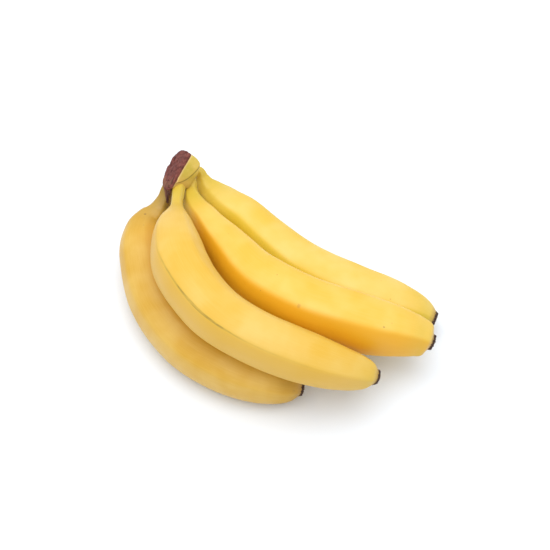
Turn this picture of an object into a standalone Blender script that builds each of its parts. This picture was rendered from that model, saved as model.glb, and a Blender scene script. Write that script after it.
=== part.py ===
"""A hand of four ripe bananas, cut from its stalk and lying on a surface.

Four fingers grow side by side from one crown. The outer finger lies on the surface along its back,
the front one rides on it, and the middle one leans on the back one, whose side also touches down.
Every finger is a cylinder primitive that is cut into rings, then swelled and bent along its spine.
The crown is a ball drawn out to the outline of the knife's cut: a wedge-shaped cushion with an
overhanging rim on one side of it, and the dried crust on the other.

Metres, +Z up. The origin is on the surface, under the middle of the hand's bounding box.
"""

import math

import bmesh
import bpy
import numpy as np
from mathutils import Vector, noise

MM = 0.001

# Driving dimensions of a finger, in millimetres.
SCAR_RADIUS = 5.0
SCAR_NARROWING = 0.6
SCAR_THICKNESS = 1.8
SIDES = 20

# The five ridges: how far the round section is drawn towards a pentagon on the body and at the two ends,
# and the stretch over which one passes into the other.
RIDGES = 5
RIDGE_DEPTH = 0.40
END_RIDGE_DEPTH = 0.60
RIDGE_BLEND = 34.0
PENTAGON_MEAN = 0.9

# Rings along a finger, from its spine's start and back from its flower end: close together on the shoulder
# and at the flower end, wider apart between.
NECK_RINGS = [6.0, 10.0, 14.5, 18.5, 22.0, 25.5, 29.0, 33.0, 37.5, 43.0, 50.0]
TIP_RINGS = [52.0, 44.0, 37.0, 31.0, 25.5, 20.5, 16.0, 12.0, 8.5, 5.5, 3.2]
BODY_RING_SPACING = 8.0

# Each finger in millimetres: its spine from inside the crown to the flower end, its outline as (distance
# along the spine, radius) up to the scar, and the roll of its ridges in degrees.
FINGERS = {
    "banana_outer": {
        "spine": [
            (-63.5, 64, 41.4), (-67.5, 59.9, 36.8), (-69.6, 55.7, 32), (-72.5, 51.7, 27.5),
            (-74.6, 48.8, 25.5), (-77.6, 45.4, 23.5), (-79.7, 40.7, 21.8), (-80.4, 34.6, 20.2),
            (-80.1, 27.5, 19.2), (-78.9, 19.2, 18.4), (-72.8, -6.4, 17.8), (-55.5, -33.8, 17.8),
            (-31.6, -52.1, 17.8), (-10.2, -62, 17), (3.7, -65.3, 14), (14.6, -65.7, 11),
        ],
        "outline": [
            (0, 3.4), (7.4, 3.8), (14.1, 4.7), (20.7, 6.3), (24.9, 8), (29.8, 10.3), (35.3, 13.4),
            (41.6, 15.6), (48.9, 17.1), (57.3, 17.7), (95, 17.8), (110.9, 17.8), (135.9, 17.7),
            (153.9, 16.9), (165.9, 15.6), (175.9, 13.7), (184.9, 10.9), (190.4, 8.2),
        ],
        "roll": 22.0,
    },
    "banana_front": {
        "spine": [
            (-60, 64.5, 42.5), (-60, 58.5, 43), (-60.1, 53.1, 44.2), (-60.3, 47.8, 45.3),
            (-60.5, 42.4, 46.5), (-60.4, 38, 47.5), (-60.4, 32.8, 48.7), (-60.4, 27.5, 50),
            (-60.5, 23.1, 51), (-60.6, 18.1, 52), (-60.1, 11.4, 53.4), (-58.6, 1.7, 55.3),
            (-56.3, -8.4, 56.8), (-48.3, -24.8, 57.8), (-35.5, -41.1, 57), (-17.5, -52.9, 53.7),
            (6, -61.4, 47.4), (31.6, -66.4, 39.2), (46.9, -67.3, 33), (56.9, -67.8, 28.2),
        ],
        "outline": [
            (0, 4.2), (6.1, 4.2), (11.6, 4), (17, 3.8), (22.5, 3.6), (27, 4.1), (32.4, 6.1),
            (37.9, 8.7), (42.3, 10.8), (47.4, 12.5), (54.3, 14.3), (64.3, 16.1), (74.8, 17.1),
            (95, 16.7), (131.2, 16.1), (156.2, 15.8), (174.2, 15), (186.2, 13.8), (196.2, 12.2),
            (205.2, 10.3), (210.7, 8.3),
        ],
        "roll": 46.0,
    },
    "banana_middle": {
        "spine": [
            (-56.7, 66.8, 42), (-53, 63.1, 39.8), (-53.2, 58.1, 37.3), (-51.8, 50.9, 36.6),
            (-48, 42.6, 37.2), (-43.9, 36.2, 37.8), (-40.4, 30, 38.2), (-36, 23, 38.6),
            (-31.3, 16.2, 39), (-25.8, 8, 39.5), (-12.1, -9.9, 40), (13, -25.8, 40), (43.2, -34.4, 36),
            (57.1, -37.7, 34.2), (71, -40.4, 32.6), (81.5, -41.8, 29.7), (90.4, -43.8, 26.5),
        ],
        "outline": [
            (0, 3.2), (5.7, 3.3), (11.4, 4.2), (18.8, 5.7), (28, 7.1), (35.6, 8.7), (42.7, 10.3),
            (50.9, 12), (59.2, 13.6), (69.1, 15.2), (95, 18), (134.6, 18), (154.6, 17.7), (166.6, 17),
            (176.6, 15.6), (186.2, 13.4), (192.6, 11.7), (197.9, 9.8),
        ],
        "roll": 32.0,
    },
    "banana_back": {
        "spine": [
            (-54.9, 69.8, 42.3), (-48.4, 70.7, 38.6), (-46.7, 69.1, 35.2), (-44.8, 66.1, 32.4),
            (-41.8, 63.1, 29.6), (-37.5, 58.8, 27.4), (-30.8, 52.7, 26), (-21.6, 46.1, 24),
            (-6, 30.7, 20.5), (13, 13.7, 18.5), (44, -3, 17.5), (71.7, -12.2, 14.4),
            (85.4, -15.8, 12.8), (94.8, -19.1, 11),
        ],
        "outline": [
            (0, 3.1), (7.6, 3.6), (11.8, 4.5), (16.3, 6.5), (21.4, 8.7), (27.9, 10.8), (37.1, 12.5),
            (48.6, 14), (70.7, 15.6), (95, 17.1), (115.4, 17.1), (136.4, 16.9), (151.4, 16.3),
            (161.4, 14.8), (169.9, 12.5), (176.4, 9.8), (180.9, 7.2),
        ],
        "roll": 48.0,
    },
}

# The crown, in millimetres. The cut's outline is given in its own plane, along its length axis and across
# it. The cushion's side behind it is a wedge: its depth grows from one end of the cut to the other.
CUT_CENTRE = (-61.7, 64.45, 49.2)
CUT_NORMAL = (-0.769, 0.107, 0.630)
CUT_LENGTH_AXIS = (0.491, 0.731, 0.475)
CUT_OUTLINE = [
    (12, -7.6), (12.7, -3), (13, 1.5), (12, 6.8), (8.4, 10.8), (3.5, 11.2), (-1, 11.3), (-5, 10.4),
    (-9.5, 6.8), (-12.6, 2), (-13.2, -3), (-11, -7.2), (-8, -7.6), (-5, -7.5), (0, -7.4), (5, -7.9),
    (9.5, -8.2),
]
CUSHION_DEPTH = 9.8
CUSHION_LEAST = 1.0
CUSHION_WEDGE = (8.0, 6.0)
CUSHION_ROUNDING = 2.2
# From the cut's edge (0) over the rim to the middle of the hidden root (1): the size of the section as a
# share of the cut, and how far the depth has come to the rim and then on to ROOT_DEPTH.
CUSHION_PROFILE = [
    (0.0, 1.0, 0.0, 0.0), (0.1, 1.02, 0.25, 0.0), (0.2, 1.03, 0.55, 0.0), (0.3, 1.02, 0.85, 0.0),
    (0.4, 0.98, 1.0, 0.0), (0.5, 0.92, 1.0, 0.06), (0.6, 0.85, 1.0, 0.28), (0.7, 0.74, 1.0, 0.56),
    (0.8, 0.57, 1.0, 0.82), (0.9, 0.31, 1.0, 0.96), (1.0, 0.0, 1.0, 1.0),
]
ROOT_DEPTH = 13.0
CRUST_THICKNESS = 2.0
CRUST_OVERHANG = 0.03
CRUST_SPREAD = 0.6
CRUST_EDGE = 10
CRUST_ROUGHNESS = 0.8
CRUST_GRAIN = 0.35
CROWN_SEGMENTS = 40
CROWN_RINGS = 30

CLEARANCE = 0.3
SLAB_SIZE = 400.0
SLAB_THICKNESS = 40.0
SHARP_ANGLE = math.radians(45)

PEEL_YELLOW = (0.86, 0.60, 0.09)
SCAR_BROWN = (0.045, 0.028, 0.018)
CROWN_GREEN = (0.66, 0.53, 0.10)
CUT_BROWN = (0.17, 0.075, 0.06)


def material(name, colour, roughness):
    made = bpy.data.materials.new(name)
    made.use_nodes = True
    shader = made.node_tree.nodes["Principled BSDF"]
    shader.inputs["Base Color"].default_value = (*colour, 1.0)
    shader.inputs["Roughness"].default_value = roughness
    shader.inputs["Metallic"].default_value = 0.0
    made.diffuse_color = (*colour, 1.0)
    return made


def curve_through(points, steps):
    """Points along a smooth curve through the given ones (a centripetal Catmull-Rom spline)."""
    points = np.array(points, float)
    points = np.vstack([2 * points[0] - points[1], points, 2 * points[-1] - points[-2]])
    curve = []
    for p0, p1, p2, p3 in zip(points, points[1:], points[2:], points[3:]):
        t1 = np.linalg.norm(p1 - p0) ** 0.5
        t2 = t1 + np.linalg.norm(p2 - p1) ** 0.5
        t3 = t2 + np.linalg.norm(p3 - p2) ** 0.5
        for t in np.linspace(t1, t2, steps, endpoint=False):
            a1 = p0 + (p1 - p0) * t / t1
            a2 = p1 + (p2 - p1) * (t - t1) / (t2 - t1)
            a3 = p2 + (p3 - p2) * (t - t2) / (t3 - t2)
            b1 = a1 + (a2 - a1) * t / t2
            b2 = a2 + (a3 - a2) * (t - t1) / (t3 - t1)
            curve.append(b1 + (b2 - b1) * (t - t1) / (t2 - t1))
    curve.append(points[-2])
    return np.array(curve)


class Spine:
    """A finger's centreline, read by the distance from its start, with a frame that follows its bend."""

    def __init__(self, points):
        self.curve = curve_through(points, 24)
        steps = np.linalg.norm(np.diff(self.curve, axis=0), axis=1)
        self.distance = np.concatenate([[0.0], np.cumsum(steps)])
        self.length = self.distance[-1]
        start, middle, end = (self.at(self.length * share) for share in (0.0, 0.5, 1.0))
        self.bend_axis = (middle - start).cross(end - middle).normalized()

    def at(self, distance):
        return Vector([np.interp(distance, self.distance, self.curve[:, k]) for k in range(3)])

    def frame(self, distance):
        """(outward over the back, sideways) where the finger's back is its convex side."""
        reach = 2.0
        low = max(0.0, distance - reach)
        high = min(self.length, distance + reach)
        tangent = (self.at(high) - self.at(low)).normalized()
        outward = tangent.cross(self.bend_axis).normalized()
        return outward, tangent.cross(outward)


def outline_of(finger, length):
    """(distances, radii) along a finger, with the flower scar at its end."""
    scar = [(length - SCAR_THICKNESS, SCAR_RADIUS), (length, SCAR_RADIUS - SCAR_NARROWING)]
    smooth = curve_through(finger["outline"] + scar, 8)
    return smooth[:, 0], smooth[:, 1]


def ridged(angle, roll, depth):
    """Share of the radius at this angle: a circle drawn towards a pentagon, with a ridge at each corner."""
    facet = 2 * math.pi / RIDGES
    from_middle = (angle - roll) % facet - facet / 2
    pentagon = math.cos(facet / 2) / math.cos(from_middle) / PENTAGON_MEAN
    return 1 + depth * (pentagon - 1)


def rings_of(length):
    """Distances from the spine's start of the rings between the two ends of a finger."""
    tip = [length - d for d in TIP_RINGS]
    count = max(1, round((tip[0] - NECK_RINGS[-1]) / BODY_RING_SPACING))
    body = list(np.linspace(NECK_RINGS[-1], tip[0], count + 1)[1:-1])
    return NECK_RINGS + body + tip + [length - SCAR_THICKNESS]


def finish(name, shape, location, collection, parent, materials):
    """The object made from this bmesh, placed under its parent, with one material slot for each finish."""
    mesh = bpy.data.meshes.new(name)
    shape.to_mesh(mesh)
    shape.free()
    mesh.set_sharp_from_angle(angle=SHARP_ANGLE)
    for each in materials:
        mesh.materials.append(each)
    made = bpy.data.objects.new(name, mesh)
    made.location = location
    made.parent = parent
    collection.objects.link(made)
    return made


def make_finger(name, finger, collection, parent, materials):
    """A cylinder primitive cut into rings, then each ring swelled and carried to its place on the spine."""
    spine = Spine(finger["spine"])
    length = spine.length
    distances, radii = outline_of(finger, length)
    roll = math.radians(finger["roll"])
    shape = bmesh.new()
    bmesh.ops.create_cone(shape, cap_ends=True, segments=SIDES, radius1=1, radius2=1, depth=length)
    for ring in rings_of(length):
        everything = shape.verts[:] + shape.edges[:] + shape.faces[:]
        height = (0, 0, ring - length / 2)
        bmesh.ops.bisect_plane(shape, geom=everything, plane_co=height, plane_no=(0, 0, 1))
    for face in shape.faces:
        face.material_index = int(face.calc_center_median().z > length / 2 - SCAR_THICKNESS)
        face.smooth = True
    for vertex in shape.verts:
        distance = vertex.co.z + length / 2
        angle = math.atan2(vertex.co.y, vertex.co.x) + roll
        outward, sideways = spine.frame(distance)
        near_end = max(0.0, 1 - min(distance, length - distance) / RIDGE_BLEND)
        depth = RIDGE_DEPTH + (END_RIDGE_DEPTH - RIDGE_DEPTH) * near_end
        radius = np.interp(distance, distances, radii) * ridged(angle, roll, depth)
        around = math.cos(angle) * outward + math.sin(angle) * sideways
        vertex.co = (spine.at(distance) - spine.at(0.0) + around * radius) * MM
    return finish(name, shape, spine.at(0.0) * MM, collection, parent, materials)


def cut_outline():
    """(middle, turns, offsets): the cut's smooth outline round its middle, read by the angle."""
    middle = np.mean(CUT_OUTLINE, axis=0)
    closed = curve_through(CUT_OUTLINE[-2:] + CUT_OUTLINE + CUT_OUTLINE[:2], 12)[12:-24] - middle
    return middle, np.unwrap(np.arctan2(closed[:, 1], closed[:, 0])), closed


def cushion_reach(u):
    """How deep the side of the cushion is at this place along the cut."""
    start, length = CUSHION_WEDGE
    return max(CUSHION_LEAST, CUSHION_DEPTH * (1 - math.exp(-(u + start) / length)))


def make_crown(name, collection, parent, materials):
    """A ball primitive drawn out to the cut's outline: the cushion below its equator, the crust above."""
    normal = Vector(CUT_NORMAL).normalized()
    along = Vector(CUT_LENGTH_AXIS)
    along = (along - along.dot(normal) * normal).normalized()
    across = normal.cross(along)
    middle, turns, offsets = cut_outline()
    profile = np.array(CUSHION_PROFILE)
    shape = bmesh.new()
    bmesh.ops.create_uvsphere(shape, u_segments=CROWN_SEGMENTS, v_segments=CROWN_RINGS, radius=1)
    crust_verts = set()
    for vertex in shape.verts:
        around = math.atan2(vertex.co.y, vertex.co.x)
        around += 2 * math.pi * math.ceil((turns[0] - around) / (2 * math.pi))
        edge = np.array([np.interp(around, turns, offsets[:, k]) for k in range(2)])
        level = math.asin(max(0.0, min(1.0, -vertex.co.z))) / (math.pi / 2)
        if level > 0.001:
            size, side, under = (np.interp(level, profile[:, 0], profile[:, k]) for k in (1, 2, 3))
            u, v = edge * size + middle
            reach = cushion_reach(u)
            depth = reach * side + (ROOT_DEPTH - reach) * under
            u -= CUSHION_ROUNDING * (depth / CUSHION_DEPTH) ** 2 * min(1.0, max(0.0, u / 10))
            place = along * u + across * v - normal * depth
        else:
            spread = math.hypot(vertex.co.x, vertex.co.y) ** CRUST_SPREAD
            u, v = edge * spread * (1 + CRUST_OVERHANG) + middle
            raised = 1 - spread**CRUST_EDGE
            place = along * u + across * v + normal * CRUST_THICKNESS * raised
            outward = (along * edge[0] + across * edge[1]).normalized()
            ragged = noise.noise(place * CRUST_GRAIN) * CRUST_ROUGHNESS
            place += normal * ragged * raised + outward * ragged * spread
            crust_verts.add(vertex)
        vertex.co = place * MM
    for face in shape.faces:
        face.smooth = True
        face.material_index = int(crust_verts.issuperset(face.verts))
    return finish(name, shape, Vector(CUT_CENTRE) * MM, collection, parent, materials)


def as_cutter(obj):
    obj.hide_render = True
    obj.display_type = "WIRE"
    return obj


def crown_cutter(crown, collection):
    """The crown grown by the clearance, which takes the buried end off every neck."""
    cutter = crown.copy()
    cutter.data = crown.data.copy()
    cutter.name = "crown_clearance"
    collection.objects.link(cutter)
    grow = cutter.modifiers.new("Clearance", "DISPLACE")
    grow.mid_level = 0.0
    grow.strength = CLEARANCE * MM
    return as_cutter(cutter)


def surface_cutter(collection):
    """A slab under the surface, which presses a flat spot where a finger touches down."""
    bpy.ops.mesh.primitive_cube_add(size=1.0, location=(0, 0, -SLAB_THICKNESS * MM / 2))
    slab = bpy.context.active_object
    slab.name = "surface_slab"
    slab.scale = (SLAB_SIZE * MM, SLAB_SIZE * MM, SLAB_THICKNESS * MM)
    for owner in list(slab.users_collection):
        owner.objects.unlink(slab)
    collection.objects.link(slab)
    return as_cutter(slab)


def cut(obj, cutter):
    boolean = obj.modifiers.new("Cut " + cutter.name, "BOOLEAN")
    boolean.operation = "DIFFERENCE"
    boolean.solver = "EXACT"
    boolean.object = cutter


def main():
    for obj in list(bpy.data.objects):
        bpy.data.objects.remove(obj)
    hand = bpy.data.collections.new("banana_hand")
    cutters = bpy.data.collections.new("cutters")
    bpy.context.scene.collection.children.link(hand)
    bpy.context.scene.collection.children.link(cutters)
    parent = bpy.data.objects.new("hand", None)
    hand.objects.link(parent)
    peel = material("peel", PEEL_YELLOW, 0.45)
    scar = material("flower_scar", SCAR_BROWN, 0.9)
    cushion = material("crown_cushion", CROWN_GREEN, 0.5)
    dried_cut = material("dried_cut", CUT_BROWN, 0.95)

    crown = make_crown("crown", hand, parent, [cushion, dried_cut])
    clearance = crown_cutter(crown, cutters)
    slab = surface_cutter(cutters)
    for name, finger in FINGERS.items():
        made = make_finger(name, finger, hand, parent, [peel, scar])
        cut(made, clearance)
        cut(made, slab)


main()
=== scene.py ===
import math

import bmesh
import bpy
import numpy as np
from mathutils import Matrix, Vector, noise


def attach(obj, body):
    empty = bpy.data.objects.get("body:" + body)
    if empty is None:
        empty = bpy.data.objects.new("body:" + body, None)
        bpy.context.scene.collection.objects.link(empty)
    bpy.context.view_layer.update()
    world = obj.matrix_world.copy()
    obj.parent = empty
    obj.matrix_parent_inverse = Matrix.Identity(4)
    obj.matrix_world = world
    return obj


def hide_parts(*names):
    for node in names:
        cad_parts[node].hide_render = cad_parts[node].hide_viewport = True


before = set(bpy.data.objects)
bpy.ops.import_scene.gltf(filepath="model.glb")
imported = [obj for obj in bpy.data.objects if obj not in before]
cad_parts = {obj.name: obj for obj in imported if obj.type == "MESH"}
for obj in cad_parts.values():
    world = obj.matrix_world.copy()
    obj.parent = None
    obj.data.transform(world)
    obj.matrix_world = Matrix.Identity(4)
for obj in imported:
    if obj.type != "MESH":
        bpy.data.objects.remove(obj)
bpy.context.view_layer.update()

MM = 0.001


# Fingers. Each banana is one closed skin over soft flesh, grown as a rounded pentagon along a bent spine:
# a thin neck that comes out of the crown, a shoulder, a full body with five ridges, and a taper to the dry
# scar of the flower. The skin is waxy and yellow, and still green at the neck and at the flower end.
BODY_RADIUS = 18.4
NECK_BURIED = 6.0
SCAR_RADIUS = 5.0
SCAR_NARROWING = 0.6
SCAR_THICKNESS = 1.8
RINGS = 260
RING_CROWDING = 0.62
SPINE_STEPS = 24
OUTLINE_STEPS = 8
RIDGES = 5
CIRCLE_TO_CORNER = 0.9
TIP_BULGE = 0.5 * MM
RESTING_ROUND = 0.4 * MM
MERGE_DISTANCE = 0.000002
SEED_SHIFT = (37.0, 11.0)
SCAR_LUMPS = (1.2 * MM, 2.6 * MM)
SMOOTH_START = 8 * MM
MIX_FACTOR, MIX_FIRST, MIX_SECOND, MIX_RESULT = 0, 6, 7, 2
FINGERS = {
    "banana_outer": {
        "spine": [
            (-63.5, 64, 41.4), (-67.5, 59.9, 36.8), (-69.6, 55.7, 32), (-72.5, 51.7, 27.5),
            (-74.6, 48.8, 25.5), (-77.6, 45.4, 23.5), (-79.7, 40.7, 21.8), (-80.4, 34.6, 20.2),
            (-80.1, 27.5, 19.2), (-78.9, 19.2, 18.4), (-72.8, -6.4, 17.8), (-55.5, -33.8, 17.8),
            (-31.6, -52.1, 17.8), (-10.2, -62, 17), (3.7, -65.3, 14), (14.6, -65.7, 11),
        ],
        "outline": [
            (0, 3.4), (7.4, 3.8), (14.1, 4.7), (20.7, 6.3), (24.9, 8), (29.8, 10.3), (35.3, 13.4),
            (41.6, 15.6), (48.9, 17.1), (57.3, 17.7), (95, 17.8), (110.9, 17.8), (135.9, 17.7),
            (153.9, 16.9), (165.9, 15.6), (175.9, 13.7), (184.9, 10.9), (190.4, 8.2),
        ],
        "roll": 22.0, "seed": 3.0,
    },
    "banana_front": {
        "spine": [
            (-60, 64.5, 42.5), (-60, 58.5, 43), (-60.1, 53.1, 44.2), (-60.3, 47.8, 45.3),
            (-60.5, 42.4, 46.5), (-60.4, 38, 47.5), (-60.4, 32.8, 48.7), (-60.4, 27.5, 50),
            (-60.5, 23.1, 51), (-60.6, 18.1, 52), (-60.1, 11.4, 53.4), (-58.6, 1.7, 55.3),
            (-56.3, -8.4, 56.8), (-48.3, -24.8, 57.8), (-35.5, -41.1, 57), (-17.5, -52.9, 53.7),
            (6, -61.4, 47.4), (31.6, -66.4, 39.2), (46.9, -67.3, 33), (56.9, -67.8, 28.2),
        ],
        "outline": [
            (0, 4.2), (6.1, 4.2), (11.6, 4), (17, 3.8), (22.5, 3.6), (27, 4.1), (32.4, 6.1),
            (37.9, 8.7), (42.3, 10.8), (47.4, 12.5), (54.3, 14.3), (64.3, 16.1), (74.8, 17.1),
            (95, 16.7), (131.2, 16.1), (156.2, 15.8), (174.2, 15), (186.2, 13.8), (196.2, 12.2),
            (205.2, 10.3), (210.7, 8.3),
        ],
        "roll": 46.0, "seed": 8.0,
    },
    "banana_middle": {
        "spine": [
            (-56.7, 66.8, 42), (-53, 63.1, 39.8), (-53.2, 58.1, 37.3), (-51.8, 50.9, 36.6),
            (-48, 42.6, 37.2), (-43.9, 36.2, 37.8), (-40.4, 30, 38.2), (-36, 23, 38.6),
            (-31.3, 16.2, 39), (-25.8, 8, 39.5), (-12.1, -9.9, 40), (13, -25.8, 40), (43.2, -34.4, 36),
            (57.1, -37.7, 34.2), (71, -40.4, 32.6), (81.5, -41.8, 29.7), (90.4, -43.8, 26.5),
        ],
        "outline": [
            (0, 3.2), (5.7, 3.3), (11.4, 4.4), (18.8, 6.3), (28, 7.9), (35.6, 9.1), (42.7, 10.3),
            (50.9, 12), (59.2, 13.6), (69.1, 15.2), (95, 18), (134.6, 18), (154.6, 17.7), (166.6, 17),
            (176.6, 15.6), (186.2, 13.4), (192.6, 11.7), (197.9, 9.8),
        ],
        "roll": 24.0, "seed": 15.0,
    },
    "banana_back": {
        "spine": [
            (-54.9, 69.8, 42.3), (-48.4, 70.7, 38.6), (-46.7, 69.1, 35.2), (-44.8, 66.1, 32.4),
            (-41.8, 63.1, 29.6), (-37.5, 58.8, 27.4), (-30.8, 52.7, 26), (-21.6, 46.1, 24),
            (-6, 30.7, 20.5), (13, 13.7, 18.5), (44, -3, 17.5), (71.7, -12.2, 14.4),
            (85.4, -15.8, 12.8), (94.8, -19.1, 11),
        ],
        "outline": [
            (0, 3.1), (7.6, 3.6), (11.8, 4.5), (16.3, 6.5), (21.4, 8.7), (27.9, 10.8), (37.1, 12.5),
            (48.6, 14), (70.7, 15.6), (95, 17.1), (115.4, 17.1), (136.4, 16.9), (151.4, 16.3),
            (161.4, 14.8), (169.9, 12.5), (176.4, 9.8), (180.9, 7.2),
        ],
        "roll": 48.0, "seed": 21.0,
    },
}


class Wire:
    """A socket of a node tree. An expression on wires adds the Math nodes that work it out."""

    def __init__(self, tree, socket=None):
        self.tree = tree
        self.socket = socket

    def node(self, kind, settings=None, inputs=None, output=0):
        made = self.tree.nodes.new(kind)
        for name, value in (settings or {}).items():
            setattr(made, name, value)
        for key, value in (inputs or {}).items():
            if isinstance(value, Wire):
                self.tree.links.new(value.socket, made.inputs[key])
            else:
                made.inputs[key].default_value = value
        return Wire(self.tree, made.outputs[output])

    def output(self, name):
        return Wire(self.tree, self.socket.node.outputs[name])

    def math(self, operation, *values):
        return self.node("ShaderNodeMath", {"operation": operation}, dict(enumerate(values)))

    def vector(self, operation, *values, output=0):
        return self.node("ShaderNodeVectorMath", {"operation": operation}, dict(enumerate(values)), output)

    def __add__(self, other):
        return self.math("ADD", self, other)

    def __radd__(self, other):
        return self.math("ADD", other, self)

    def __sub__(self, other):
        return self.math("SUBTRACT", self, other)

    def __rsub__(self, other):
        return self.math("SUBTRACT", other, self)

    def __mul__(self, other):
        return self.math("MULTIPLY", self, other)

    def __rmul__(self, other):
        return self.math("MULTIPLY", other, self)

    def __truediv__(self, other):
        return self.math("DIVIDE", self, other)

    def __rtruediv__(self, other):
        return self.math("DIVIDE", other, self)

    def rise(self, low, high):
        """0 below low and 1 above high, with a smooth rise between."""
        ends = {"Value": self, "From Min": low, "From Max": high}
        return self.node("ShaderNodeMapRange", {"interpolation_type": "SMOOTHSTEP"}, ends)

    def fall(self, low, high):
        return 1.0 - self.rise(low, high)

    def mix(self, colour, other):
        """The first colour where this wire is 0 and the other where it is 1."""
        inputs = {MIX_FACTOR: self, MIX_FIRST: colour, MIX_SECOND: other}
        return self.node("ShaderNodeMix", {"data_type": "RGBA"}, inputs, MIX_RESULT)

    def parts(self):
        split = self.node("ShaderNodeSeparateXYZ", {}, {0: self}, "X")
        return split, split.output("Y"), split.output("Z")

    def pack(self, x, y, z):
        return self.node("ShaderNodeCombineXYZ", {}, {"X": x, "Y": y, "Z": z})

    def grain(self, place, scale, detail=2.0, roughness=0.5):
        inputs = {"Vector": place, "Scale": scale, "Detail": detail, "Roughness": roughness}
        return self.node("ShaderNodeTexNoise", {}, inputs, "Fac")


def curve_through(points, steps):
    """Points along a smooth curve through the given ones (a centripetal Catmull-Rom spline)."""
    points = np.array(points, float)
    points = np.vstack([2 * points[0] - points[1], points, 2 * points[-1] - points[-2]])
    curve = []
    for p0, p1, p2, p3 in zip(points, points[1:], points[2:], points[3:]):
        t1 = np.linalg.norm(p1 - p0) ** 0.5
        t2 = t1 + np.linalg.norm(p2 - p1) ** 0.5
        t3 = t2 + np.linalg.norm(p3 - p2) ** 0.5
        for t in np.linspace(t1, t2, steps, endpoint=False):
            a1 = p0 + (p1 - p0) * t / t1
            a2 = p1 + (p2 - p1) * (t - t1) / (t2 - t1)
            a3 = p2 + (p3 - p2) * (t - t2) / (t3 - t2)
            b1 = a1 + (a2 - a1) * t / t2
            b2 = a2 + (a3 - a2) * (t - t1) / (t3 - t1)
            curve.append(b1 + (b2 - b1) * (t - t1) / (t2 - t1))
    curve.append(points[-2])
    return np.array(curve)


def spine_of(finger, rings):
    """(centres, radii, bend axis) of a finger's rings in millimetres, closer together towards its ends."""
    curve = curve_through(finger["spine"], SPINE_STEPS)
    travelled = np.concatenate([[0.0], np.cumsum(np.linalg.norm(np.diff(curve, axis=0), axis=1))])
    length = travelled[-1]
    scar = [(length - SCAR_THICKNESS, SCAR_RADIUS), (length, SCAR_RADIUS - SCAR_NARROWING)]
    outline = curve_through(finger["outline"] + scar, OUTLINE_STEPS)
    share = np.linspace(0.0, 1.0, rings)
    distance = length * (share - RING_CROWDING * np.sin(2 * math.pi * share) / (2 * math.pi))
    centres = np.array([np.interp(distance, travelled, curve[:, k]) for k in range(3)]).T
    radii = np.interp(distance, outline[:, 0], outline[:, 1])
    places = []
    for part in (0.0, 0.5, 1.0):
        places.append(np.array([np.interp(length * part, travelled, curve[:, k]) for k in range(3)]))
    start, middle, end = places
    bend = np.cross(middle - start, end - middle)
    return centres, radii, bend / np.linalg.norm(bend)


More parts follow.
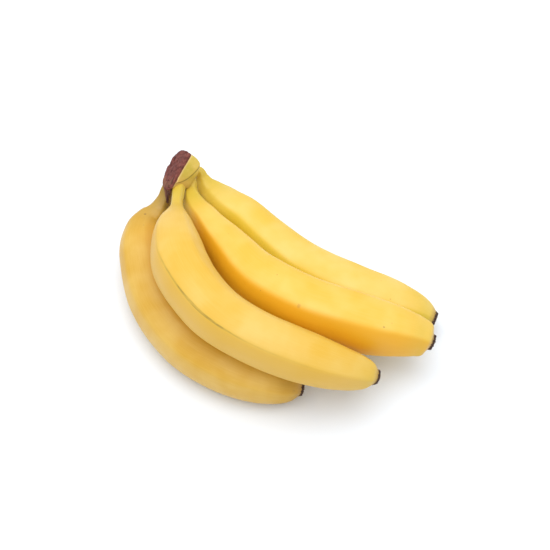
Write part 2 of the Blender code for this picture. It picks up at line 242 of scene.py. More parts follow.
def finger_tree():
    """Geometry Nodes that grow a finger round its spine, ring by ring, and close both ends."""
    tree = bpy.data.node_groups.new("finger_on_spine", "GeometryNodeTree")
    sizes = {
        "Spine": "Geometry", "Bend axis": "Vector", "Roll": "Float", "Sides": "Int", "End rings": "Int",
        "Ridge depth": "Float", "End ridge depth": "Float", "Ridge blend": "Float",
        "Ridge rounding": "Float", "Unevenness": "Float", "Creases": "Float", "Scar lumps": "Float",
        "Buried": "Float", "Seed": "Float", "Peel": "Material",
    }
    for name, kind in sizes.items():
        tree.interface.new_socket(name=name, in_out="INPUT", socket_type="NodeSocket" + kind)
    tree.interface.new_socket(name="Finger", in_out="OUTPUT", socket_type="NodeSocketGeometry")
    start = Wire(tree)
    given = start.node("NodeGroupInput")
    size = {name: given.output(name) for name in sizes}
    curve = start.node("GeometryNodeMeshToCurve", {}, {"Mesh": size["Spine"]})
    counted = {"component": "CURVE"}
    rings = start.node("GeometryNodeAttributeDomainSize", counted, {"Geometry": curve}, "Point Count")
    rows = rings + 2.0 * size["End rings"]
    shell = {"Vertices X": rows, "Vertices Y": size["Sides"]}
    grid = start.node("GeometryNodeMeshGrid", {}, shell, "Mesh")

    # Which ring of the spine a vertex belongs to, how far in from the rim of a closed end, and its angle.
    index = start.node("GeometryNodeInputIndex")
    row = start.math("FLOOR", (index + 0.5) / size["Sides"])
    column = index - row * size["Sides"]
    ring = start.math("MINIMUM", start.math("MAXIMUM", row - size["End rings"], 0.0), rings - 1.0)
    crown_end = start.math("MAXIMUM", size["End rings"] - row, 0.0) / size["End rings"]
    flower_end = start.math("MAXIMUM", row - size["End rings"] - rings + 1.0, 0.0) / size["End rings"]
    angle = column / (size["Sides"] - 1.0) * (2 * math.pi)

    def on_ring(value, kind="FLOAT_VECTOR"):
        what = {"data_type": kind, "domain": "POINT"}
        inputs = {"Geometry": curve, "Value": value, "Index": ring}
        return start.node("GeometryNodeSampleIndex", what, inputs)

    named = {"data_type": "FLOAT"}
    thickness = start.node("GeometryNodeInputNamedAttribute", named, {"Name": "thickness"}, "Attribute")
    travelled = start.node("GeometryNodeSplineParameter", {}, {}, "Length")
    length = start.node("GeometryNodeCurveLength", {}, {"Curve": curve})
    centre = on_ring(start.node("GeometryNodeInputPosition"))
    tangent = on_ring(start.node("GeometryNodeInputTangent"))
    radius = on_ring(thickness, "FLOAT")
    from_start = on_ring(travelled, "FLOAT")
    from_tip = length - from_start
    outward = start.vector("NORMALIZE", start.vector("CROSS_PRODUCT", tangent, size["Bend axis"]))
    sideways = start.vector("CROSS_PRODUCT", tangent, outward)
    cosine = start.math("COSINE", angle)
    sine = start.math("SINE", angle)

    def scaled(vector, factor):
        inputs = {"Vector": vector, "Scale": factor}
        return start.node("ShaderNodeVectorMath", {"operation": "SCALE"}, inputs)

    around = start.vector("ADD", scaled(outward, cosine), scaled(sideways, sine))

    # The section: a circle drawn towards a pentagon, more so near the two ends, with rounded ridges. Before
    # they are rounded, the pentagon's corners reach a ninth beyond the circle.
    facet = 2 * math.pi / RIDGES
    from_middle = start.math("FLOORED_MODULO", angle - size["Roll"], facet) - facet / 2
    to_ridge = facet / 2 - start.math("ABSOLUTE", from_middle)
    rounded = start.math("SQRT", to_ridge * to_ridge + size["Ridge rounding"] * size["Ridge rounding"])
    pentagon = math.cos(facet / 2) / CIRCLE_TO_CORNER / start.math("COSINE", facet / 2 - rounded)
    nearest_end = start.math("MINIMUM", from_start, from_tip)
    near_end = start.math("MAXIMUM", 1.0 - nearest_end / size["Ridge blend"], 0.0)
    depth = size["Ridge depth"] + (size["End ridge depth"] - size["Ridge depth"]) * near_end
    swelled = radius * (1.0 + depth * (pentagon - 1.0))

    # Unevenness of the living skin: slow swells, lengthwise creases near the ends, lumps on the dry scar.
    skin = start.pack(cosine * BODY_RADIUS, sine * BODY_RADIUS, from_start / MM)
    shift = start.pack(size["Seed"] * SEED_SHIFT[0], size["Seed"] * SEED_SHIFT[1], 0.0)
    seeded = start.vector("ADD", skin, shift)
    swell = start.grain(seeded, 0.035, 1.5) - 0.5
    crease_place = start.vector("MULTIPLY", seeded, (1.0, 1.0, 0.12))
    crease = start.grain(crease_place, 0.16, 3.0, 0.6) - 0.5
    lump = start.grain(start.vector("MULTIPLY", seeded, (1.0, 1.0, 2.5)), 0.30, 4.0, 0.75) - 0.5
    on_scar = from_tip.fall(*SCAR_LUMPS)
    uneven = swell * size["Unevenness"] * 2.0 + crease * size["Creases"] * (0.25 + near_end) * 2.0
    uneven = uneven * from_start.rise(0.0, SMOOTH_START) + lump * on_scar * size["Scar lumps"] * 2.0
    inwards = 1.0 - start.math("MAXIMUM", crown_end, flower_end)
    reach = (swelled + uneven) * inwards
    lumpy = lump * on_scar * inwards * size["Scar lumps"] * 1.5
    bulge = scaled(tangent, lumpy - flower_end * TIP_BULGE)
    place = start.vector("ADD", start.vector("ADD", centre, scaled(around, reach)), bulge)
    x, y, z = place.parts()
    resting = start.pack(x, y, start.math("SMOOTH_MAX", z, 0.0, RESTING_ROUND))

    # What the peel's finish reads: the skin unrolled, and the distances to the crown, the tip and a ridge.
    distances = start.pack((from_start - size["Buried"]) / MM, from_tip / MM, to_ridge * radius / MM)
    for name, value in (("skin", skin), ("distances", distances)):
        stored = {"data_type": "FLOAT_VECTOR", "domain": "POINT"}
        inputs = {"Geometry": grid, "Name": name, "Value": value}
        grid = start.node("GeometryNodeStoreNamedAttribute", stored, inputs)
    shaped = start.node("GeometryNodeSetPosition", {}, {"Geometry": grid, "Position": resting})
    outwards = start.node("GeometryNodeFlipFaces", {}, {"Mesh": shaped})
    near_enough = {"Geometry": outwards, "Distance": MERGE_DISTANCE}
    closed = start.node("GeometryNodeMergeByDistance", {}, near_enough)
    smooth = start.node("GeometryNodeSetShadeSmooth", {}, {"Geometry": closed})
    real = start.node("GeometryNodeRealizeInstances", {}, {"Geometry": smooth})
    dressed = start.node("GeometryNodeSetMaterial", {}, {"Geometry": real, "Material": size["Peel"]})
    end = tree.nodes.new("NodeGroupOutput")
    tree.links.new(dressed.socket, end.inputs["Finger"])
    return tree


def settled(piece, tree, values):
    """The plain mesh object that a node tree makes of this piece. Inputs are set by identifier."""
    modifier = piece.modifiers.new(tree.name, "NODES")
    modifier.node_group = tree
    for item in tree.interface.items_tree:
        if item.in_out == "INPUT" and item.name in values:
            modifier[item.identifier] = values[item.name]
    evaluated = piece.evaluated_get(bpy.context.evaluated_depsgraph_get())
    mesh = bpy.data.meshes.new_from_object(evaluated)
    piece.modifiers.clear()
    old = piece.data
    piece.data = mesh
    mesh.name = piece.name
    bpy.data.meshes.remove(old)
    return piece


def linked(name, mesh):
    piece = bpy.data.objects.new(name, mesh)
    bpy.context.scene.collection.objects.link(piece)
    return piece


# Where the peel's colours change, as lengths or (from, to) pairs in millimetres, and the browns and blacks
# that all four fingers share.
PAINTED_SHADE_FACE = (13.0, 16.5)
PAINTED_SHADE_FROM_NECK = (8.0, 40.0)
NECK_GREEN = (6.0, 40.0)
TIP_GREEN = (5.0, 24.0)
RUBBED_FACE = (14.0, 16.0)
RUBBED_LINE = (0.15, 0.80)
RUBBED_HALO = (0.2, 2.2)
RUBBED_FADE = 25.0
FAINT_BEFORE = 40.0
FAINT_AFTER = 60.0
SCAR_EDGE = (1.5, 2.3)
SCAR_TAN_EDGE = (2.2, 5.5)
FRECKLE_BROWN = (0.30, 0.15, 0.03, 1.0)
MARK_BROWN = (0.22, 0.10, 0.03, 1.0)
SCAR_TAN = (0.40, 0.22, 0.05, 1.0)
SCAR_BLACK = (0.015, 0.008, 0.006, 1.0)
SCAR_BROWN = (0.11, 0.05, 0.03, 1.0)


def peel_finish(name, tone, marks):
    """Waxy yellow peel, green at both ends, with this finger's marks: (x, y, z, size, darkness)."""
    material = bpy.data.materials.new(name)
    material.use_nodes = True
    shader = material.node_tree.nodes["Principled BSDF"]
    start = Wire(material.node_tree)
    named = {"attribute_type": "GEOMETRY"}
    skin = start.node("ShaderNodeAttribute", {**named, "attribute_name": "skin"}, {}, "Vector")
    apart = start.node("ShaderNodeAttribute", {**named, "attribute_name": "distances"}, {}, "Vector")
    from_crown, from_tip, to_ridge = apart.parts()
    place = start.node("ShaderNodeTexCoord", {}, {}, "Object")
    threads = start.vector("MULTIPLY", skin, (1.0, 1.0, 0.05))

    # Ground colour: slow drifts between a pale and a deep yellow, and fine threads along the finger.
    drift = start.grain(place, 38.0, 2.0).rise(0.32, 0.68)
    cloud = start.grain(place, 160.0, 3.0).rise(0.25, 0.75)
    thread = start.grain(threads, 1.3, 3.0, 0.65)
    colour = drift.mix(tone["pale"], tone["deep"])
    colour = (cloud * 0.25).mix(colour, tone["deep"])
    colour = (thread.rise(0.35, 0.8) * 0.22).mix(colour, tone["thread"])

    # Painted shade: one face of the pentagon, the one turned towards a neighbouring finger, is tinted
    # deeper than the rest.
    def towards(bearing):
        arm = (math.cos(math.radians(bearing)), math.sin(math.radians(bearing)), 0.0)
        return start.vector("DOT_PRODUCT", skin, arm, output="Value")

    facing = towards(tone["painted_shade_side"]).rise(*PAINTED_SHADE_FACE)
    painted_shade = facing * from_crown.rise(*PAINTED_SHADE_FROM_NECK) * tone["painted_shade_strength"]
    colour = painted_shade.mix(colour, tone["shade"])

    # Green that the ripening has left, at the neck and fainter at the flower end.
    patch = start.grain(place, 70.0, 2.0).rise(0.3, 0.7)
    neck_green = from_crown.fall(*NECK_GREEN) * (0.65 + 0.35 * patch)
    tip_green = from_tip.fall(*TIP_GREEN) * (0.2 + 0.3 * patch)
    green = start.math("MAXIMUM", neck_green, tip_green)
    colour = (green * tone["greenness"]).mix(colour, tone["green"])

    # A rubbed ridge: one long thin brown-green line, broken and fainter towards both its ends. It is
    # coloured on the front finger only. On the others it is a faint crease in the relief.
    aside = towards(tone["rub_angle"])
    rubbed = start.grain(start.vector("MULTIPLY", skin, (0.4, 0.4, 0.12)), 0.6, 3.0, 0.7)
    wander = (start.grain(threads, 0.9, 2.0) - 0.5) * 1.2
    first, last = tone["rub_reach"]
    stretch = from_crown.rise(first, first + RUBBED_FADE) * from_crown.fall(last - RUBBED_FADE, last)
    faint = from_crown.rise(first - FAINT_BEFORE, first) * from_crown.fall(last, last + FAINT_AFTER) * 0.22
    near = aside.rise(*RUBBED_FACE) * (0.78 * stretch + faint)
    broken = 0.45 + 0.55 * rubbed.rise(0.40, 0.60)
    line = (to_ridge + wander).fall(*RUBBED_LINE) * near * broken
    halo = to_ridge.fall(*RUBBED_HALO) * near * 0.25
    colour = (halo * tone["rub"]).mix(colour, tone["green"])
    colour = (line * tone["rub"]).mix(colour, tone["rubbed"])

    # Freckles: a small brown speck in a few of the cells.
    cells = {"Vector": place, "Scale": 210.0, "Randomness": 1.0}
    speck = start.node("ShaderNodeTexVoronoi", {}, cells, "Distance")
    chosen = start.node("ShaderNodeSeparateColor", {}, {0: speck.output("Color")}, "Red")
    freckle = speck.fall(0.04, 0.10) * chosen.rise(0.90, 0.94)
    colour = (freckle * 0.6).mix(colour, FRECKLE_BROWN)

    # The marks that this finger has: scuffs and specks at their places.
    for x, y, z, reach, depth in marks:
        away = start.vector("DISTANCE", place, (x * MM, y * MM, z * MM), output="Value")
        ragged = (start.grain(place, 700.0, 3.0, 0.7) - 0.5) * reach * MM * 1.6
        mark = (away + ragged).fall(reach * MM * 0.35, reach * MM) * depth
        colour = mark.mix(colour, MARK_BROWN)

    # The dry scar of the flower, with a ragged tan edge.
    ragged = (start.grain(skin, 0.55, 3.0, 0.7) - 0.5) * 3.2
    tan = (from_tip + ragged).fall(*SCAR_TAN_EDGE)
    scar = (from_tip + ragged).fall(*SCAR_EDGE)
    colour = (tan * 0.55).mix(colour, SCAR_TAN)
    crust = start.grain(skin, 1.4, 4.0, 0.7).rise(0.3, 0.7)
    colour = scar.mix(colour, crust.mix(SCAR_BLACK, SCAR_BROWN))

    # Relief and gloss: fine threads, pores, the scar's crust and the rubbed line.
    fine = start.grain(threads, 4.5, 4.0, 0.6)
    pores = start.grain(skin, 2.6, 3.0, 0.6)
    relief = pores * 0.5 + fine * 0.5 + scar * crust * 3.0 - line * 0.5
    bumped = {"Strength": 0.22, "Distance": 0.25 * MM, "Height": relief}
    bump = start.node("ShaderNodeBump", {}, bumped, "Normal")
    rough = 0.40 + 0.10 * pores + 0.10 * drift + 0.35 * scar + 0.15 * line
    start.tree.links.new(colour.socket, shader.inputs["Base Color"])
    start.tree.links.new(rough.socket, shader.inputs["Roughness"])
    start.tree.links.new(bump.socket, shader.inputs["Normal"])
    shader.inputs["Specular IOR Level"].default_value = 0.45
    shader.inputs["Coat Weight"].default_value = 0.1
    shader.inputs["Coat Roughness"].default_value = 0.35
    return material


# The tone that all four share, and what each finger changes in it. Bearings are degrees round the section.
TONE = {
    "pale": (0.78, 0.51, 0.08, 1.0), "deep": (0.74, 0.42, 0.02, 1.0), "thread": (0.80, 0.56, 0.13, 1.0),
    "green": (0.60, 0.44, 0.035, 1.0), "greenness": 0.9,
    # The shade colour, the side it lies on and its strength paint shade on one face of each finger.
    "shade": (0.78, 0.38, 0.004, 1.0), "painted_shade_side": 0.0, "painted_shade_strength": 0.5,
    "rubbed": (0.20, 0.13, 0.025, 1.0), "rub": 0.0, "rub_angle": 0.0, "rub_reach": (30.0, 170.0),
}
TONES = {
    "banana_outer": {
        # The outer finger's darker tone is partly its own and partly painted shade, for the side it turns
        # down and away from the lamp.
        **TONE, "pale": (0.69, 0.435, 0.08, 1.0), "deep": (0.62, 0.34, 0.02, 1.0),
        "green": (0.34, 0.21, 0.035, 1.0),
        "shade": (0.58, 0.28, 0.01, 1.0), "painted_shade_side": 224.0, "painted_shade_strength": 0.75,
    },
    "banana_front": {
        **TONE, "pale": (0.74, 0.49, 0.10, 1.0), "deep": (0.71, 0.42, 0.035, 1.0),
        "shade": (0.68, 0.40, 0.04, 1.0), "painted_shade_side": 10.0, "painted_shade_strength": 0.8,
        "rub": 0.85, "rub_angle": 334.0, "rub_reach": (66.0, 138.0),
    },
    "banana_middle": {
        **TONE, "pale": (0.81, 0.54, 0.10, 1.0), "deep": (0.78, 0.47, 0.04, 1.0),
        "painted_shade_side": 348.0, "painted_shade_strength": 0.9,
    },
    "banana_back": {
        **TONE, "pale": (0.79, 0.56, 0.13, 1.0), "deep": (0.75, 0.49, 0.05, 1.0),
        "shade": (0.70, 0.51, 0.015, 1.0), "painted_shade_side": 300.0, "painted_shade_strength": 0.7,
    },
}
MARKS = {
    "banana_outer": [(-80.8, 43.4, 32.7, 1.0, 0.7)],
    "banana_front": [],
    "banana_middle": [
        (60.5, -46.6, 48.6, 0.8, 0.7), (65.1, -43.9, 48.6, 0.7, 0.5), (12.1, -36.6, 55.2, 1.6, 0.25),
    ],
    "banana_back": [],
}
grow_finger = finger_tree()
for name, finger in FINGERS.items():
    centres, radii, bend = spine_of(finger, RINGS)
    spine = bpy.data.meshes.new(name)
    spine.from_pydata((centres * MM).tolist(), [(i, i + 1) for i in range(RINGS - 1)], [])
    spine.attributes.new("thickness", "FLOAT", "POINT").data.foreach_set("value", radii * MM)
    values = {
        "Bend axis": tuple(bend), "Roll": math.radians(finger["roll"]), "Sides": 121, "End rings": 6,
        "Ridge depth": 0.42, "End ridge depth": 0.62, "Ridge blend": 34 * MM,
        "Ridge rounding": math.radians(4.5), "Unevenness": 0.45 * MM, "Creases": 0.28 * MM,
        "Scar lumps": 1.1 * MM, "Buried": NECK_BURIED * MM, "Seed": finger["seed"],
        "Peel": peel_finish("peel_of_" + name, TONES[name], MARKS[name]),
    }
    piece = settled(linked("peel_" + name, spine), grow_finger, values)
    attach(piece, "root")
    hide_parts(name)


# Crown: the fleshy cushion that all four necks grow out of, cut from the stalk with a knife. Its side is
# smooth yellow-green skin with a fine rim where the necks leave it. The cut itself has dried to a dark,
# cracked crust that is a little wider than the flesh under it.
CUT_CENTRE = Vector((-61.7, 64.45, 49.2))
CUT_NORMAL = Vector((-0.769, 0.107, 0.630)).normalized()
CUT_LENGTH_AXIS = Vector((0.491, 0.731, 0.475))
CUT_OUTLINE = [
    (12, -7.6), (12.7, -3), (13, 1.5), (12, 6.8), (8.4, 10.8), (3.5, 11.2), (-1, 11.3), (-5, 10.4),
    (-9.5, 6.8), (-12.6, 2), (-13.2, -3), (-11, -7.2), (-8, -7.6), (-5, -7.5), (0, -7.4), (5, -7.9),
    (9.5, -8.2),
]
CUSHION_DEPTH = 9.8
CUSHION_WEDGE = (8.0, 6.0)
CUSHION_ROUNDING = 2.2
CUSHION_PROFILE = [
    (0.0, 1.0, 0.0, 0.0), (0.1, 1.02, 0.25, 0.0), (0.2, 1.03, 0.55, 0.0), (0.3, 1.02, 0.85, 0.0),
    (0.4, 0.98, 1.0, 0.0), (0.5, 0.91, 1.0, 0.06), (0.6, 0.83, 1.0, 0.31), (0.7, 0.72, 1.0, 0.60),
    (0.8, 0.55, 1.0, 0.85), (0.9, 0.30, 1.0, 0.96), (1.0, 0.0, 1.0, 1.0),
]
ROOT_DEPTH = 12.5
CRUST_THICKNESS = 2.0
CRUST_OVERHANG = 0.03
CROWN_VOXEL = 0.3
CUT_STEPS = 12
BALL_SEGMENTS = 120
BALL_RINGS = 80
CRUST_SHOULDER = 0.6
CRUST_EDGE = 10
ROUNDED_FROM = 10
WOBBLE = 0.35
CRUST_START = 0.2
CRUST_FADE = 0.8
CRUST_ROUGHNESS = 0.6
PIT_DEPTH = 3.0
CRUST_SWELL = 0.15
RIM_GROOVE = 0.28
RIM_GROOVE_WIDTH = 0.45
CUSHION_SWELL = 0.12
CUSHION_OLIVE = (0.52, 0.41, 0.05, 1.0)
CUSHION_YELLOW = (0.68, 0.50, 0.10, 1.0)
CUSHION_FLECK = (0.74, 0.58, 0.20, 1.0)
CUSHION_TAN = (0.52, 0.28, 0.07, 1.0)
GROOVE_PAINTED_SHADOW = (0.16, 0.15, 0.02, 1.0)
CUT_EDGE_TAN = (0.80, 0.58, 0.28, 1.0)
CRUST_MAROON = (0.10, 0.028, 0.024, 1.0)
CRUST_RED = (0.24, 0.075, 0.058, 1.0)
CRUST_CRACK = (0.035, 0.010, 0.008, 1.0)


def cut_axes():
    along = (CUT_LENGTH_AXIS - CUT_LENGTH_AXIS.dot(CUT_NORMAL) * CUT_NORMAL).normalized()
    return along, CUT_NORMAL.cross(along)


def cushion_reach(u):
    """How deep the side of the cushion is at this place along the cut: a wedge that thins to one end."""
    start, length = CUSHION_WEDGE
    return np.maximum(1.0, CUSHION_DEPTH * (1 - np.exp(-(u + start) / length)))


def crown_block():
    """The cushion and its crust as one rough closed ball, in millimetres."""
    along, across = cut_axes()
    middle = np.mean(CUT_OUTLINE, axis=0)
    closed = curve_through(CUT_OUTLINE[-2:] + CUT_OUTLINE + CUT_OUTLINE[:2], CUT_STEPS)
    closed = closed[CUT_STEPS:-2 * CUT_STEPS] - middle
    turn = np.unwrap(np.arctan2(closed[:, 1], closed[:, 0]))
    turn = turn * np.sign(turn[-1] - turn[0])
    profile = np.array(CUSHION_PROFILE)
    shape = bmesh.new()
    bmesh.ops.create_uvsphere(shape, u_segments=BALL_SEGMENTS, v_segments=BALL_RINGS, radius=1)
    for vertex in shape.verts:
        spread = math.hypot(vertex.co.x, vertex.co.y)
        around = math.atan2(vertex.co.y, vertex.co.x)
        while around < turn[0]:
            around += 2 * math.pi
        edge = np.array([np.interp(around, turn, closed[:, k]) for k in range(2)])
        if vertex.co.z < 0:
            level = math.asin(min(1.0, -vertex.co.z)) / (math.pi / 2)
            size, side, under = (np.interp(level, profile[:, 0], profile[:, k]) for k in (1, 2, 3))
            u, v = edge * size + middle
            reach = cushion_reach(u)
            depth = reach * side + (ROOT_DEPTH - reach) * under
            u -= CUSHION_ROUNDING * (depth / CUSHION_DEPTH) ** 2 * min(1.0, max(0.0, u / ROUNDED_FROM))
            vertex.co = along * u + across * v - CUT_NORMAL * depth
        else:
            spread = spread ** CRUST_SHOULDER
            u, v = edge * spread * (1 + CRUST_OVERHANG) + middle
            vertex.co = along * u + across * v + CUT_NORMAL * CRUST_THICKNESS * (1 - spread**CRUST_EDGE)
        vertex.co += CUT_CENTRE
    return shape


def crown_finish(name):
    """Yellow-green cushion skin and dark dried crust, told apart by how far a point is into the crust."""
    material = bpy.data.materials.new(name)
    material.use_nodes = True
    shader = material.node_tree.nodes["Principled BSDF"]
    start = Wire(material.node_tree)
    zones = {"attribute_type": "GEOMETRY", "attribute_name": "zones"}
    crust, rim, lengthwise = start.node("ShaderNodeAttribute", zones, {}, "Vector").parts()
    place = start.node("ShaderNodeTexCoord", {}, {}, "Object")

    patch = start.grain(place, 90.0, 2.0).rise(0.3, 0.7)
    green = patch.mix(CUSHION_OLIVE, CUSHION_YELLOW)
    fine = start.grain(place, 420.0, 3.0, 0.6)
    green = (fine.rise(0.4, 0.8) * 0.25).mix(green, CUSHION_FLECK)
    # The cushion turns tan towards the low end of the cut.
    tan_towards_low_end = lengthwise.fall(-9.0, 4.0) * 0.65
    green = tan_towards_low_end.mix(green, CUSHION_TAN)
    # The dark colour along the rim is painted shadow, for the shade in the groove under the cushion's edge;
    # the same mask also sinks the groove in the relief.
    groove_and_painted_shadow = start.math("ABSOLUTE", rim).fall(0.1, 0.55)
    green = (groove_and_painted_shadow * 0.8).mix(green, GROOVE_PAINTED_SHADOW)
    edge = crust.rise(-1.6, -0.5)
    green = (edge * 0.6).mix(green, CUT_EDGE_TAN)
    line = crust.rise(-0.45, -0.1)

    wide = start.grain(place, 330.0, 4.0, 0.65)
    cracks = start.grain(place, 900.0, 4.0, 0.7)
    brown = wide.rise(0.3, 0.7).mix(CRUST_MAROON, CRUST_RED)
    brown = (cracks.fall(0.30, 0.46) * 0.7).mix(brown, CRUST_CRACK)
    colour = line.mix(green, brown)
    relief = fine * 0.3 + line * (cracks * 1.0 + wide * 1.6) - groove_and_painted_shadow
    bumped = {"Strength": 0.5, "Distance": 0.4 * MM, "Height": relief}
    bump = start.node("ShaderNodeBump", {}, bumped, "Normal")
    rough = 0.5 + 0.4 * line
    start.tree.links.new(colour.socket, shader.inputs["Base Color"])
    start.tree.links.new(rough.socket, shader.inputs["Roughness"])
    start.tree.links.new(bump.socket, shader.inputs["Normal"])
    shader.inputs["Specular IOR Level"].default_value = 0.35
    return material


shape = crown_block()
shape.transform(Matrix.Scale(MM, 4))
crown_mesh = bpy.data.meshes.new("crown_rough")
shape.to_mesh(crown_mesh)
shape.free()
crown = linked("crown_cushion", crown_mesh)
remesh = crown.modifiers.new("Grown together", "REMESH")
remesh.mode = "VOXEL"
remesh.voxel_size = CROWN_VOXEL * MM
ease = crown.modifiers.new("Eased", "SMOOTH")
ease.factor = 0.5
ease.iterations = 6
evaluated = crown.evaluated_get(bpy.context.evaluated_depsgraph_get())
fused = bpy.data.meshes.new_from_object(evaluated)
crown.modifiers.clear()
crown.data = fused
fused.name = "crown_cushion"
bpy.data.meshes.remove(crown_mesh)

along, across = cut_axes()
points = np.zeros(len(fused.vertices) * 3)
fused.vertices.foreach_get("co", points)
points = points.reshape(-1, 3) / MM
normals = np.array([v.normal for v in fused.vertices])
local = points - np.array(CUT_CENTRE)
height = local @ np.array(CUT_NORMAL)
lengthwise = local @ np.array(along)
rim = -height - cushion_reach(lengthwise)
moved = np.zeros_like(points)
zones = np.zeros_like(points)
for i, point in enumerate(points):
    place = Vector(point)
    wobble = noise.fractal(place * 0.22, 0.8, 2.0, 3) * WOBBLE
    into_crust = height[i] + wobble + CRUST_START
    crusty = min(1.0, max(0.0, into_crust / CRUST_FADE))
    ragged = noise.fractal(place * 0.24, 0.8, 2.1, 5)
    pits = -max(0.0, noise.noise(place * 0.45) - 0.2)
    push = crusty * (ragged * CRUST_ROUGHNESS + pits * PIT_DEPTH + CRUST_SWELL)
    push -= (1 - crusty) * RIM_GROOVE * math.exp(-((rim[i] / RIM_GROOVE_WIDTH) ** 2))
    push += (1 - crusty) * CUSHION_SWELL * noise.noise(place * 0.25)
    moved[i] = point + normals[i] * push
    zones[i] = (into_crust, rim[i], lengthwise[i])
fused.vertices.foreach_set("co", (moved * MM).ravel())
fused.attributes.new("zones", "FLOAT_VECTOR", "POINT").data.foreach_set("vector", zones.ravel())
fused.shade_smooth()
fused.materials.append(crown_finish("crown_skin_and_cut"))
fused.update()
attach(crown, "root")
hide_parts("crown")


# Fibres: strands of the stalk that tore instead of being cut, dried together with the crust. They hang
# from the low end of the cut over the outer neck, and the longest meet between it and the front neck.
STRANDS = 38
STRAND_THICKNESS = (0.48, 0.34, 0.10)
STRAND_TIP = (-20.0, 0.3, -6.2)
STRAND_SIDES = 8
STRAND_STEPS = 6
STRAND_SPREAD = (-7.5, 7.0)
STRAND_REACH = (0.35, 1.0)
FULL_LENGTH_EVERY = 4
TIP_SCATTER = 0.35
CUT_LOW_END = -13.0
CUT_LOW_BEND = 0.07
STRAND_SAG = 0.25
FIBRE_MAROON = (0.06, 0.018, 0.014, 1.0)
FIBRE_TAN = (0.34, 0.14, 0.075, 1.0)


def strand_tree():
    """Geometry Nodes that turn each spine into a thin tapering rod with closed ends."""
    tree = bpy.data.node_groups.new("strands_on_spines", "GeometryNodeTree")
    for name, kind in {"Spines": "Geometry", "Sides": "Int", "Fibre": "Material"}.items():
        tree.interface.new_socket(name=name, in_out="INPUT", socket_type="NodeSocket" + kind)
    tree.interface.new_socket(name="Strands", in_out="OUTPUT", socket_type="NodeSocketGeometry")
    start = Wire(tree)
    given = start.node("NodeGroupInput")
    curve = start.node("GeometryNodeMeshToCurve", {}, {"Mesh": given.output("Spines")})
    named = {"data_type": "FLOAT"}
    thickness = start.node("GeometryNodeInputNamedAttribute", named, {"Name": "thickness"}, "Attribute")
    ring = {"Resolution": given.output("Sides"), "Radius": 1.0}
    profile = start.node("GeometryNodeCurvePrimitiveCircle", {"mode": "RADIUS"}, ring)
    rods = {"Curve": curve, "Profile Curve": profile, "Scale": thickness, "Fill Caps": True}
    rod = start.node("GeometryNodeCurveToMesh", {}, rods)
    smooth = start.node("GeometryNodeSetShadeSmooth", {}, {"Geometry": rod})
    real = start.node("GeometryNodeRealizeInstances", {}, {"Geometry": smooth})
    coat = {"Geometry": real, "Material": given.output("Fibre")}
    dressed = start.node("GeometryNodeSetMaterial", {}, coat)
    end = tree.nodes.new("NodeGroupOutput")
    tree.links.new(dressed.socket, end.inputs["Strands"])
    return tree


def strand_finish(name):
    """Dry fibre between dark maroon and a lighter reddish tan, streaked from strand to strand."""
    material = bpy.data.materials.new(name)
    material.use_nodes = True
    shader = material.node_tree.nodes["Principled BSDF"]
    start = Wire(material.node_tree)
    kept = {"attribute_type": "GEOMETRY", "attribute_name": "shade"}
    shade = start.node("ShaderNodeAttribute", kept, {}, "Fac")
    place = start.node("ShaderNodeTexCoord", {}, {}, "Object")
    fleck = start.grain(place, 700.0, 3.0, 0.6)
    streak = shade * 0.8 + fleck * 0.4 - 0.1
    colour = streak.mix(FIBRE_MAROON, FIBRE_TAN)
    rough = 0.7 + 0.2 * fleck
    bumped = {"Strength": 0.4, "Distance": 0.2 * MM, "Height": fleck}
    bump = start.node("ShaderNodeBump", {}, bumped, "Normal")
    start.tree.links.new(colour.socket, shader.inputs["Base Color"])
    start.tree.links.new(rough.socket, shader.inputs["Roughness"])
    start.tree.links.new(bump.socket, shader.inputs["Normal"])
    return material


chance = np.random.default_rng(11)
along, across = cut_axes()
spots = []
edges = []
thick = []
shades = []
for strand in range(STRANDS):
    side = chance.uniform(*STRAND_SPREAD)
    lean = chance.uniform(*STRAND_REACH) if strand % FULL_LENGTH_EVERY else 1.0
    edge_u = CUT_LOW_END + CUT_LOW_BEND * side * side
    tip = np.array(STRAND_TIP) + chance.normal(0.0, TIP_SCATTER, 3)
    lip = np.array([edge_u - 0.9, side * 0.86, -0.5])
    goal = lip + (tip - lip) * lean
    way = [
        (edge_u + 6.5, side * 0.9, 0.9), (edge_u + 3.0, side, 1.75), (edge_u + 0.6, side, 1.1),
        tuple(lip), tuple((lip + goal) / 2 + STRAND_SAG), tuple(goal),
    ]
    line = curve_through(way, STRAND_STEPS)
    shade = chance.uniform(0.0, 1.0)
    for step, (u, v, height) in enumerate(line):
        share = step / (len(line) - 1)
        if step:
            edges.append((len(spots) - 1, len(spots)))
        spots.append(CUT_CENTRE + along * u + across * v + CUT_NORMAL * height)
        thick.append(np.interp(share, (0.0, 0.6, 1.0), STRAND_THICKNESS))
        shades.append(shade * (1.0 - share**3))
spines = bpy.data.meshes.new("crown_fibres")
spines.from_pydata([tuple(spot * MM) for spot in spots], edges, [])
spines.attributes.new("thickness", "FLOAT", "POINT").data.foreach_set("value", np.array(thick) * MM)
spines.attributes.new("shade", "FLOAT", "POINT").data.foreach_set("value", shades)
values = {"Sides": STRAND_SIDES, "Fibre": strand_finish("dry_fibre")}
fibres = settled(linked("crown_fibres", spines), strand_tree(), values)
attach(fibres, "root")


# Surface: a plain pale sheet that the hand lies on, and on which its soft shadows fall.
# It is a hair below the two fingers that rest, so that nothing flickers where they touch.
SHEET_REACH = 4
SHEET_DROP = 0.0002


def surface_finish(name):
    material = bpy.data.materials.new(name)
    material.use_nodes = True
    shader = material.node_tree.nodes["Principled BSDF"]
    shader.inputs["Base Color"].default_value = (0.88, 0.93, 0.99, 1.0)
    shader.inputs["Roughness"].default_value = 0.9
    shader.inputs["Specular IOR Level"].default_value = 0.1
    return material


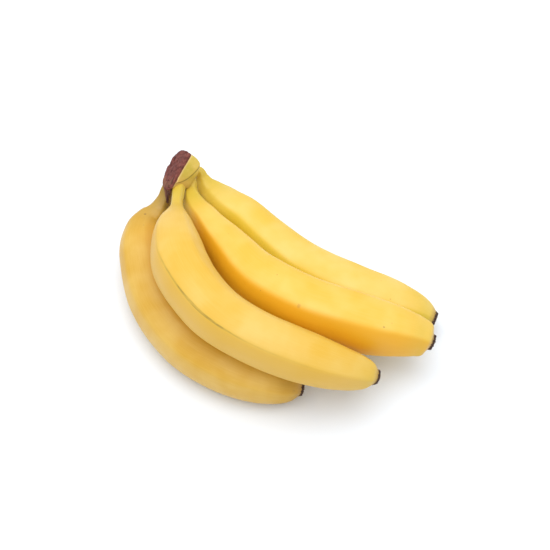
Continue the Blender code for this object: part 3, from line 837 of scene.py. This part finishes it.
sheet = bpy.data.meshes.new("surface")
corners = [(x * SHEET_REACH, y * SHEET_REACH, 0) for x, y in ((-1, -1), (1, -1), (1, 1), (-1, 1))]
sheet.from_pydata(corners, [], [(0, 1, 2, 3)])
sheet.materials.append(surface_finish("pale_surface"))
surface = linked("surface", sheet)
surface.location.z = -SHEET_DROP


# Light: one large soft lamp overhead, and the pale room all round, which lifts the shadows.
LAMP_PLACE = Vector((-0.08, 0.0, 1.08))
LAMP_AIM = Vector((0, 0, 0.03))
LAMP_SIZE = 1.5
LAMP_POWER = 10.5
lamp = bpy.data.lights.new("overhead_softbox", "AREA")
lamp.shape = "DISK"
lamp.size = LAMP_SIZE
lamp.energy = LAMP_POWER
softbox = bpy.data.objects.new("overhead_softbox", lamp)
softbox.location = LAMP_PLACE
softbox.rotation_mode = "QUATERNION"
softbox.rotation_quaternion = (LAMP_AIM - LAMP_PLACE).to_track_quat("-Z", "Y")
bpy.context.scene.collection.objects.link(softbox)
room = bpy.data.worlds.new("pale_room")
room.use_nodes = True
room.node_tree.nodes["Background"].inputs["Color"].default_value = (0.98, 0.98, 1.0, 1.0)
room.node_tree.nodes["Background"].inputs["Strength"].default_value = 0.78
bpy.context.scene.world = room
bpy.context.scene.view_settings.view_transform = "Standard"


# Camera: 90 cm from the hand and 57 degrees above it, the distance and angle that fit the photograph.
CAMERA_DISTANCE = 0.9
CAMERA_ELEVATION = math.radians(57)
CAMERA_AIM = Vector((-0.0015, 0.0040, 0.025))
lens = bpy.data.cameras.new("camera")
lens.sensor_width = 36.0
lens.lens = 36.0 * 1500 / 550
lens.clip_start = 0.01
camera = bpy.data.objects.new("camera", lens)
looking = Vector((0, math.cos(CAMERA_ELEVATION), -math.sin(CAMERA_ELEVATION)))
camera.location = CAMERA_AIM - looking * CAMERA_DISTANCE
camera.rotation_mode = "QUATERNION"
camera.rotation_quaternion = looking.to_track_quat("-Z", "Y")
bpy.context.scene.collection.objects.link(camera)
bpy.context.scene.camera = camera
